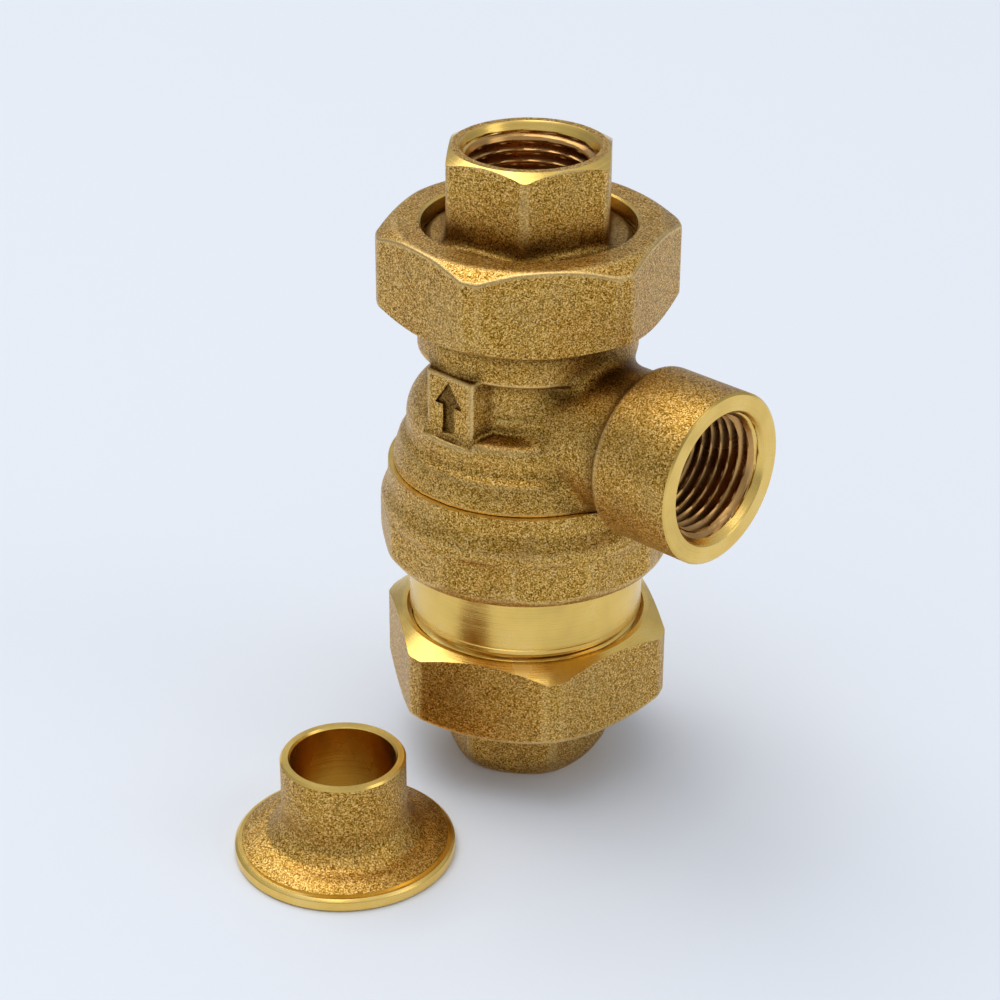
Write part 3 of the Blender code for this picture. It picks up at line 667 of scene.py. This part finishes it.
# darker amber than the machined brass: painted shade inside the solder cup
SHADED_BORE = turned_brass("bored_brass", colour=(0.66, 0.37, 0.05), rough=0.24)
STEEL = plain("spring_steel", (0.55, 0.55, 0.56), 1.0, 0.28, grain=2500.0)
RUBBER = plain("rubber", (0.018, 0.018, 0.019), 0.0, 0.55)
FIBRE = plain("gasket_fibre", (0.20, 0.27, 0.17), 0.0, 0.8, grain=3500.0, strength=0.5)
ACETAL = plain("acetal", (0.74, 0.73, 0.69), 0.0, 0.38)


# --- unions ------------------------------------------------------------------------

def tailpiece(name, body, turn, outlet):
    """Threaded tailpiece of a union. The outlet's end face is turned and chamfered."""
    mouth = HEIGHT if outlet else 0.0
    direction = 1 if outlet else -1
    ends = sorted((mouth, mouth - direction * TAIL_LENGTH))
    reach = FLANGE_R + 1
    distance = tail_distance(turn, outlet)
    piece = casting(name, distance, (-reach, -reach, ends[0] - 1), (reach, reach, ends[1] + 1))
    face_r = TAIL_FACE_R if outlet else None
    machine(piece, port_cutter(mouth, direction, 1.5, BRIGHT, THREAD, face_r, TAIL_CHAMFER))
    nut_turn = OUTLET_NUT_TURN if outlet else INLET_NUT_TURN
    # painted shade on the tailpiece where the union nut stands round it
    finish_piece(piece, name, body, distance, beside_nut(distance, nut_turn, outlet))


def union_nut(name, body, turn, outlet):
    """Union nut: cast hexagon with a machined lip, thread and mouth."""
    low = NUT_SETBACK - 1
    high = NUT_SETBACK + NUT_HEIGHT + 1
    span = (HEIGHT - high, HEIGHT - low) if outlet else (low, high)
    reach = 25.2
    distance = nut_distance(turn, outlet)
    piece = casting(name, distance, (-reach, -reach, span[0]), (reach, reach, span[1]))
    machine(piece, nut_bore_cutter(outlet))
    finish_piece(piece, name, body, distance)


def nut_bore_cutter(outlet):
    """Bore with the union thread, lip opening and, at the open side, the faced cone."""
    skim = 0.06
    closed = NUT_SETBACK
    opened = NUT_SETBACK + NUT_HEIGHT - skim
    thread_from = closed + NUT_LIP_THICK + 4.0
    lip_edge = 0.35
    relief_r = UNION_CREST_R + 0.5
    cone_r = NUT_FACE_R + NUT_FACE_WIDTH
    cone_drop = NUT_FACE_WIDTH * math.tan(math.radians(29))
    outline = [
        (0, closed - 1), (NUT_LIP_R + lip_edge + 1, closed - 1), (NUT_LIP_R, closed + lip_edge),
        (NUT_LIP_R, closed + NUT_LIP_THICK), (relief_r, closed + NUT_LIP_THICK),
        (relief_r, thread_from - 0.8),
    ]
    outline += thread_rows(UNION_CREST_R, thread_from, opened, 70)
    outline += [
        (NUT_FACE_R, opened), (cone_r, opened - cone_drop), (cone_r, opened + 1.1), (0, opened + 1.1),
    ]
    if outlet:
        outline = [(radius, HEIGHT - height) for radius, height in outline]

    def shape(radius, height, angle):
        from_mouth = opened - from_end(height, outlet)
        female = union_radius(height, angle) + UNION_PLAY
        mouth = NUT_MOUTH_R - from_mouth * 0.8
        return np.where(on_thread(radius, UNION_CREST_R), np.maximum(female, mouth), radius)

    return turned("cutter", outline, material=BRIGHT, shape=shape)


def vertex_rows(items, key):
    """Positions or normals of a mesh's vertices, one row of x, y and z each."""
    values = np.empty(len(items) * 3)
    items.foreach_get(key, values)
    return values.reshape(-1, 3)


def store(mesh, name, values):
    layer = mesh.attributes.new(name, "FLOAT", "POINT")
    layer.data.foreach_set("value", values.astype(np.float32))


def mark_edges(mesh, distance):
    """Store how sharply the casting bends at each point: above 0 on outer edges, below 0 in corners."""
    points = vertex_rows(mesh.vertices, "co") / MM
    reach = 0.5
    bend = -6 * distance(*points.T)
    for unit in np.eye(3):
        bend += distance(*(points + reach * unit).T) + distance(*(points - reach * unit).T)
    store(mesh, "edge", np.clip(bend / reach, -1, 1))


def mark_painted_shade(mesh, distance):
    """Store how shut in each point is, for painted shade: 0 in the open, towards 1 deep in a corner."""
    points = vertex_rows(mesh.vertices, "co") / MM
    normals = vertex_rows(mesh.vertex_normals, "vector")
    reaches = (1.2, 2.5, 5.0)
    clear = sum(np.clip(distance(*(points + reach * normals).T) / reach, 0, 1) for reach in reaches)
    store(mesh, "painted_shade", 1 - clear / len(reaches))


def beside_nut(distance, turn, outlet):
    """The piece's own field together with the nut that stands round it, so that painted shade also falls
    where the nut shuts the piece in.
    """
    nut = nut_distance(turn, outlet)

    def both(x, y, z):
        ring = np.maximum(nut(x, y, z), NUT_LIP_R - np.hypot(x, y))
        return np.minimum(distance(x, y, z), ring)

    return both


def finish_piece(piece, node, body, distance, around=None):
    """Mark a cast piece's edges, and its painted shade in recesses, and let it stand for its CAD node."""
    mark_edges(piece.data, distance)
    mark_painted_shade(piece.data, around or distance)
    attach(piece, body)
    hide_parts(node)
    piece.name = node + "_visual"


# --- bodies ------------------------------------------------------------------------

def inlet_body():
    """Lower casting: collar with flats on its lower part, over the turned waist and union thread."""
    stock_r = 19.7
    flats_end, flats_fade = COLLAR_TOP - 7.2, 1.5
    outline = rounded([
        (0, INLET_FACE), (stock_r, INLET_FACE), (stock_r, COLLAR_UNDERSIDE),
        (COLLAR_R - 1.6, COLLAR_UNDERSIDE, 0.9), (COLLAR_R, COLLAR_UNDERSIDE + 2.0, 2.2),
        (COLLAR_R, COLLAR_TOP - 6.0, 3.0), (COLLAR_R - 1.15, COLLAR_TOP - 3.2, 2.5),
        (COLLAR_R - 1.3, COLLAR_TOP + 1), (0, COLLAR_TOP + 1),
    ], 7)

    def distance(x, y, z):
        r = np.hypot(x, y)
        body = outline_distance(outline, r, z)
        flats = prism(x, y, COLLAR_TURN, COLLAR_FLATS, 0.15, COLLAR_SIDES)
        lower = smooth_max(body - COLLAR_SWELL, flats, 0.3)
        share = np.clip((flats_end - z) / flats_fade, 0, 1)
        return body + (lower - body) * share * share * (3 - 2 * share)

    reach = COLLAR_R + 1
    low, high = (-reach, -reach, INLET_FACE - 1), (reach, reach, COLLAR_TOP + 1)
    piece = casting("inlet_body", distance, low, high)
    machine(piece, waist_cutter(), inlet_bore_cutter())
    finish_piece(piece, "inlet_body", "valve_body", distance)


def waist_cutter():
    """Turned waist with one fine groove, and the union thread below it, cut from outside."""
    outer = 27.0
    thread_top = WAIST_FROM - 0.5
    groove_r = WAIST_R - 0.14
    outline = [(outer, INLET_FACE - 1), (UNION_START_R, INLET_FACE - 1)]
    outline += thread_rows(UNION_CREST_R, INLET_FACE, thread_top, 60)
    outline += [
        (18.6, thread_top + 0.1), (WAIST_R - 0.1, WAIST_FROM + 0.25), (WAIST_R, WAIST_FROM + 0.4),
        (WAIST_R, WAIST_FROM + 1.0), (groove_r, WAIST_FROM + 1.12), (groove_r, WAIST_FROM + 1.3),
        (WAIST_R, WAIST_FROM + 1.42), (WAIST_R, COLLAR_UNDERSIDE - 0.3), (WAIST_R + 0.3, COLLAR_UNDERSIDE),
        (outer, COLLAR_UNDERSIDE - 0.02),
    ]
    return turned("cutter", outline, material=BRIGHT, shape=male_thread(INLET_FACE))


def inlet_bore_cutter():
    """Gasket seat, waterway, piston chamber, ledge for the diaphragm, socket and the collar's top face."""
    seat_r, seat_top = 14.4, INLET_FACE + 2.1
    way_r, floor_z = 12.0, 37.5
    chamber_r, ledge = 16.6, 43.9
    socket_r, face_z = 21.0, COLLAR_TOP - 0.05
    above = COLLAR_TOP + 2
    outline = [
        (0, INLET_FACE - 1), (seat_r, INLET_FACE - 1), (seat_r, seat_top), (way_r, seat_top),
        (way_r, floor_z), (chamber_r, floor_z), (chamber_r, ledge), (socket_r, ledge), (socket_r, face_z),
        (COLLAR_R, face_z), (COLLAR_R, above), (0, above),
    ]
    return turned("cutter", outline, material=BRIGHT)


def body_outline():
    """Outline of the upper half: spigot, skirt, belly, groove, neck band and thread."""
    spigot_r, band_r, neck_r = 20.6, 17.55, 19.6
    bulge = [
        (BELLY_CENTRE[0] + BELLY_ROUND * math.cos(math.radians(turn)),
         BELLY_CENTRE[1] + BELLY_ROUND * math.sin(math.radians(turn)))
        for turn in np.linspace(-12, 64, 14)
    ]
    return rounded([
        (0, SPIGOT_END), (spigot_r, SPIGOT_END), (spigot_r, SKIRT_BOTTOM), (21.73, SKIRT_BOTTOM, 0.15),
        (21.45, 56.2, 3.0), (20.7, 58.6, 2.5), (19.4, 60.0, 1.8), *bulge, (15.4, 70.5, 2.2),
        (15.5, 73.3, 0.5), (17.6, 74.4, 0.6), (band_r, 80.0, 0.4), (neck_r, 80.4), (neck_r, OUTLET_FACE),
        (0, OUTLET_FACE),
    ])


def panel(x, y, z, side):
    """Hollow beside the pad, with a floor round the axis and a ledge that slopes outwards."""
    first, last = -82, -26
    middle, half = (first + last) / 2, (last - first) / 2
    azimuth = np.degrees(np.arctan2(side * y, x))
    r = np.hypot(x, y)
    reach = np.radians(np.abs(azimuth - middle) - half) * PANEL_R
    ledge = (65.6 - z - 0.3 * (r - PANEL_R)) * 0.95
    ends = smooth_max(ledge, z - PANEL_TOP, 0.4)
    return smooth_max(smooth_max(PANEL_R - r, reach, 0.5), ends, 0.5)


def pad(x, y, z, side):
    """Raised block with drafted flanks, and the flat that its face cuts in the belly."""
    middle, half = sum(PAD_Z) / 2, (PAD_Z[1] - PAD_Z[0]) / 2
    depth = PAD_FACE - side * y
    flank = np.abs(x) - PAD_HALF - 0.32 * depth
    ends = np.abs(z - middle) - half - 0.1 * depth
    block = smooth_max(smooth_max(-depth, flank, 0.7), smooth_max(ends, depth - 6, 0.5), 0.5)
    flat = smooth_max(depth, np.maximum(np.abs(x) - PAD_HALF - 0.2, PAD_Z[0] - z), 0.3)
    return block, flat


def vent_neck(x, off, z):
    """Neck between body and drum, kept off the collar. off is the distance from the vent's axis."""
    neck = smooth_max(smooth_max(off - VENT_NECK_R, x - VENT_DRUM_X - 2, 1.0), -x, 1.0)
    return smooth_max(neck, COLLAR_TOP + 0.6 - z + np.maximum(x - 24.4, 0) * 3, 0.8)


def vent_drum(x, off):
    back_edge = smooth_max(off - VENT_DRUM_R, VENT_DRUM_X - x, 1.4)
    return smooth_max(back_edge, x - VENT_MOUTH - 0.5, 0.2)


def outlet_casting():
    """Rough casting of the upper half: belly, hollow panels, pads front and back, and vent port."""
    outline = body_outline()

    def distance(x, y, z):
        body = outline_distance(outline, np.hypot(x, y), z)
        for side in (-1, 1):
            body = smooth_max(body, -panel(x, y, z, -side), 0.8)
            block, flat = pad(x, y, z, side)
            body = smooth_max(smooth_min(body, block, 0.5), -flat, 0.6)
        off = np.hypot(y, z - VENT_Z)
        body = smooth_min(body, vent_neck(x, off, z), 2.4)
        return smooth_min(body, vent_drum(x, off), 0.5)

    return distance


def outlet_body():
    """Upper casting with its arrow, union thread, spigot, waterway and vent port machined in."""
    distance = outlet_casting()
    low = (-23, -22, SPIGOT_END - 1)
    high = (VENT_MOUTH + 1.5, 22, OUTLET_FACE + 1)
    piece = casting("outlet_body", distance, low, high)
    machine(piece, arrow_cutter(), neck_cutter(), spigot_cutter(), waterway_cutter(), vent_cutter())
    # painted shade on the neck and panels under the outlet union nut
    around = beside_nut(distance, OUTLET_NUT_TURN, True)
    finish_piece(piece, "outlet_body", "valve_body", distance, around)


def arrow_cutter():
    """Flow arrow sunk into the pad, with drafted walls."""
    outline = [(-1.2, -4.6), (1.2, -4.6), (1.2, 0.3), (2.9, 0.3), (0.0, 4.4), (-2.9, 0.3), (-1.2, 0.3)]
    depth, draft = 0.6, 0.93
    count = len(outline)
    middle = sum(PAD_Z) / 2
    points = [(u * draft, depth - PAD_FACE, middle + v * draft) for u, v in outline]
    points += [(u * (2 - draft), -depth - PAD_FACE, middle + v * (2 - draft)) for u, v in outline]
    faces = [tuple(range(count)), tuple(reversed(range(count, 2 * count)))]
    for step in range(count):
        after = (step + 1) % count
        faces.append((step, step + count, after + count, after))
    return place_mesh("cutter", points, faces, VALVE_AXIS, CAST)


def neck_cutter():
    """Union thread at the top, cut from outside."""
    outer = 27.0
    bottom = 80.15
    relief_r = 18.0
    outline = [(outer, bottom), (relief_r, bottom), (relief_r, bottom + 0.5)]
    outline += thread_rows(UNION_CREST_R, bottom + 0.6, OUTLET_FACE, 60)
    outline += [(UNION_START_R, OUTLET_FACE + 1), (outer, OUTLET_FACE + 1)]
    return turned("cutter", outline, material=BRIGHT, shape=male_thread(OUTLET_FACE))


def spigot_cutter():
    """Outside of the spigot, with the O-ring's groove."""
    outer, spigot_r, groove_r = 24.2, 20.6, 19.1
    groove = (51.2, 53.1)
    outline = [
        (outer, SPIGOT_END - 1), (20.2, SPIGOT_END - 1), (spigot_r, SPIGOT_END + 0.4), (spigot_r, groove[0]),
        (groove_r, groove[0]), (groove_r, groove[1]), (spigot_r, groove[1]), (spigot_r, SKIRT_BOTTOM),
        (outer, SKIRT_BOTTOM),
    ]
    return turned("cutter", outline, material=BRIGHT)


def waterway_cutter():
    """Vent chamber, the seat's shoulder, and the outlet check's bore with its snap ring groove."""
    mouth_r, chamber_r, shoulder_r, seat_r, check_r, ring_r = 17.3, 14.6, 13.2, 9.0, 13.5, 14.5
    ring = (85.9, 87.1)
    outline = [
        (0, SPIGOT_END - 1), (mouth_r, SPIGOT_END - 1), (mouth_r, 48.0), (chamber_r, 48.8),
        (chamber_r, 64.0), (shoulder_r, 67.0), (shoulder_r, 70.5), (seat_r, 70.5), (seat_r, 72.5),
        (check_r, 72.5),
        (check_r, ring[0]), (ring_r, ring[0]), (ring_r, ring[1]), (check_r, ring[1]),
        (check_r, OUTLET_FACE + 1), (0, OUTLET_FACE + 1),
    ]
    return turned("cutter", outline, material=BRIGHT)


def vent_cutter():
    bevel = 0.4
    bore = VENT_MOUTH - 11
    face_r = VENT_DRUM_R - bevel
    return port_cutter(VENT_MOUTH, 1, 3.0, BRIGHT_X, THREAD_X, face_r, 2.0, lay_x=VENT_Z, deep=bore)


# --- spare tailpiece ------------------------------------------------------------------

def solder_tailpiece():
    """Loose tailpiece: flange, flared foot and a plain cup for copper tube."""
    outline = rounded([
        (0, 0), (17.2, 0), (18.2, 0.3), (18.2, 2.4), (16.6, 2.45, 0.2), (14.6, 3.3, 1.6), (12.4, 3.9, 2.2),
        (10.0, 6.2, 2.8), (10.0, SPARE_HEIGHT + 0.5), (0, SPARE_HEIGHT + 0.5),
    ], 6)

    def distance(x, y, z):
        return outline_distance(outline, np.hypot(x, y), z)

    reach = 19.5
    low, high = (-reach, -reach, -1), (reach, reach, SPARE_HEIGHT + 1.5)
    piece = casting("solder_tailpiece", distance, low, high, SPARE_AXIS)
    machine(piece, flange_cutter(), cup_cutter())
    finish_piece(piece, "solder_tailpiece", "solder_tail", distance)


def flange_cutter():
    """Turned edge of the flange, with a step on its upper side, cut from outside."""
    outer, foot_r, step_r, step_top = 21, 17.1, 16.5, 2.75
    outline = rounded([
        (outer, -1), (foot_r, -1), (foot_r, 0.0), (FLANGE_R, 0.35), (FLANGE_R, 1.75, 0.25), (17.2, 2.15),
        (step_r, 2.2), (step_r, step_top), (outer, step_top),
    ], 3)
    return turned("cutter", outline, SPARE_AXIS, BRIGHT)


def cup_cutter():
    """Bore, cup and turned rim. The rim is brighter than the inside, whose darker finish is painted shade.
    """
    bore_r, cup_r, cup_floor = 7.2, 8.4, 4.6
    edge, above = SPARE_HEIGHT - 0.35, SPARE_HEIGHT + 2
    outline = [
        (0, above), (0, -1), (bore_r, -1), (bore_r, cup_floor), (cup_r, cup_floor), (cup_r, edge),
        (8.7, SPARE_HEIGHT), (9.7, SPARE_HEIGHT), (10.0, edge), (10.6, edge), (10.6, above),
    ]
    cutter = turned("cutter", outline, SPARE_AXIS, SHADED_BORE)
    cutter.data.materials.append(BRIGHT)
    for face in cutter.data.polygons:
        if face.center.z / MM > SPARE_HEIGHT - 0.5:
            face.material_index = 1
    return cutter


tailpiece("outlet_tailpiece", "outlet_tail", OUTLET_TAIL_TURN, True)
tailpiece("inlet_tailpiece", "inlet_tail", INLET_TAIL_TURN, False)
union_nut("outlet_union_nut", "outlet_nut", OUTLET_NUT_TURN, True)
union_nut("inlet_union_nut", "inlet_nut", INLET_NUT_TURN, False)
inlet_body()
outlet_body()
solder_tailpiece()


# --- inner pieces --------------------------------------------------------------------

def coil(name, radius, wire, bottom, top, turns, material):
    """A wound spring. Its end turns lie flat, and the wire's ends are closed."""
    around, per_turn = 12, 40           # facets of the wire's section, and steps in a turn
    count = int(turns * per_turn)
    points, faces = [], []
    for step in range(count + 1):
        share = step / count
        turn = TAU * turns * share
        flat = 0.8 / turns
        rise = np.clip((share - flat) / (1 - 2 * flat), 0, 1)
        lift = bottom + wire + (top - bottom - 2 * wire) * rise
        for side in range(around):
            section = TAU * side / around
            reach = radius + wire * math.cos(section)
            points.append((reach * math.cos(turn), reach * math.sin(turn), lift + wire * math.sin(section)))
    for step in range(count):
        for side in range(around):
            after = (side + 1) % around
            ring, following = step * around, (step + 1) * around
            faces.append((ring + side, following + side, following + after, ring + after))
    faces += [tuple(range(around)), tuple(reversed(range(count * around, (count + 1) * around)))]
    return place_mesh(name, points, faces, VALVE_AXIS, material, 60)


def spring(node, body, wire, turns):
    """Replace a CAD spring by a finer one, carried by one body."""
    low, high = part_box(node)
    radius = (high.x - low.x) / 2 / MM - wire
    made = coil(node + "_visual", radius, wire, low.z / MM, high.z / MM, turns, STEEL)
    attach(made, body)
    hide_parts(node)
    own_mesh(made)


def diaphragm():
    """Rubber diaphragm: flat on the piston, up one soft fold, and flat again in its clamped rim."""
    low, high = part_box("diaphragm")
    thick, slack = 1.2, 0.02
    bottom, top = low.z / MM + thick / 2, high.z / MM - thick / 2
    outer, inner = (high.x - low.x) / 2 / MM, 11.1
    fold_from, fold_to = 13.9, 16.2
    steps = 32
    middle = []
    for step in range(steps + 1):
        radius = inner + (outer - inner) * step / steps
        share = min(max((radius - fold_from) / (fold_to - fold_from), 0.0), 1.0)
        middle.append((radius, bottom + (top - bottom) * (1 - math.cos(math.pi * share)) / 2))
    under = [(radius, height - thick / 2 + slack) for radius, height in middle]
    over = [(radius, height + thick / 2 - slack) for radius, height in reversed(middle)]
    made = turned("diaphragm_visual", under + over, material=RUBBER)
    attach(made, "valve_body")
    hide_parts("diaphragm")
    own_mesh(made)


def dress_inner_pieces():
    """Give every CAD piece that stays its finish, by the slot that the record names."""
    finishes = {
        "cast_brass": CAST, "machined_brass": BRIGHT, "spring_steel": STEEL, "rubber": RUBBER,
        "gasket_fibre": FIBRE, "acetal": ACETAL,
    }
    slots = {part["node"]: part["material_slot"] for part in frame["record"]["subparts"]}
    for node, piece in frame["nodes"].items():
        for index in range(len(piece.data.materials)):
            piece.data.materials[index] = finishes[slots[node]]


dress_inner_pieces()
spring("vent_spring", "valve_body", wire=0.55, turns=5.5)
spring("inlet_check_spring", "vent_carrier", wire=0.25, turns=4)
spring("outlet_check_spring", "valve_body", wire=0.22, turns=3)
diaphragm()


# --- stage ----------------------------------------------------------------------------

def floor():
    half = 6.0
    corners = [(-half, -half, 0), (half, -half, 0), (half, half, 0), (-half, half, 0)]
    mesh = bpy.data.meshes.new("floor")
    mesh.from_pydata(corners, [], [(0, 1, 2, 3)])
    made = bpy.data.objects.new("floor", mesh)
    bpy.context.scene.collection.objects.link(made)
    n = Nodes("floor")
    mesh.materials.append(n.finish(Base_Color=(0.80, 0.83, 0.88, 1.0), Roughness=0.55))


def bearing(azimuth, elevation):
    """Unit vector from the object towards a viewer there. Azimuth 0 looks along +Y."""
    a, e = math.radians(azimuth), math.radians(elevation)
    return Vector((math.sin(a) * math.cos(e), -math.cos(a) * math.cos(e), math.sin(e)))


def area_light(name, azimuth, elevation, distance, size, power):
    """A softbox aimed at the middle of the valve."""
    target = Vector((VALVE_AXIS.x, VALVE_AXIS.y, HEIGHT * MM / 2))
    back = bearing(azimuth, elevation)
    data = bpy.data.lights.new(name, "AREA")
    data.shape = "RECTANGLE"
    data.size, data.size_y = size
    data.energy = power
    light = bpy.data.objects.new(name, data)
    light.location = target + back * distance
    light.rotation_mode = "QUATERNION"
    light.rotation_quaternion = (-back).to_track_quat("-Z", "Y")
    bpy.context.scene.collection.objects.link(light)


def world():
    """Pale surroundings that grow brighter from the horizon up, as in a light tent."""
    scene_world = bpy.data.worlds.new("studio")
    bpy.context.scene.world = scene_world
    scene_world.use_nodes = True
    tree = scene_world.node_tree
    background = tree.nodes["Background"]
    direction = tree.nodes.new("ShaderNodeTexCoord")
    part = tree.nodes.new("ShaderNodeSeparateXYZ")
    strength = tree.nodes.new("ShaderNodeMapRange")
    tree.links.new(direction.outputs["Generated"], part.inputs[0])
    tree.links.new(part.outputs["Z"], strength.inputs["Value"])
    strength.inputs["To Min"].default_value = HORIZON_LIGHT
    strength.inputs["To Max"].default_value = ZENITH_LIGHT
    tree.links.new(strength.outputs["Result"], background.inputs["Strength"])
    background.inputs["Color"].default_value = (0.88, 0.93, 1.0, 1.0)
    bpy.context.scene.view_settings.view_transform = "Standard"


def camera():
    back = bearing(CAMERA_AZIMUTH, CAMERA_ELEVATION)
    data = bpy.data.cameras.new("camera")
    data.sensor_width = 36.0
    data.lens = CAMERA_LENS
    view = bpy.data.objects.new("camera", data)
    view.location = CAMERA_AIM + back * CAMERA_DISTANCE
    view.rotation_mode = "QUATERNION"
    roll = Matrix.Rotation(math.radians(CAMERA_ROLL), 3, "Z").to_quaternion()
    view.rotation_quaternion = (-back).to_track_quat("-Z", "Y") @ roll
    bpy.context.scene.collection.objects.link(view)
    bpy.context.scene.camera = view


floor()
world()
area_light("key", -95, 58, 3.4, (2.2, 2.2), 30)
area_light("top", 0, 80, 3.0, (2.0, 2.0), 22)
area_light("side", 110, 35, 3.0, (1.2, 1.6), 6)
camera()
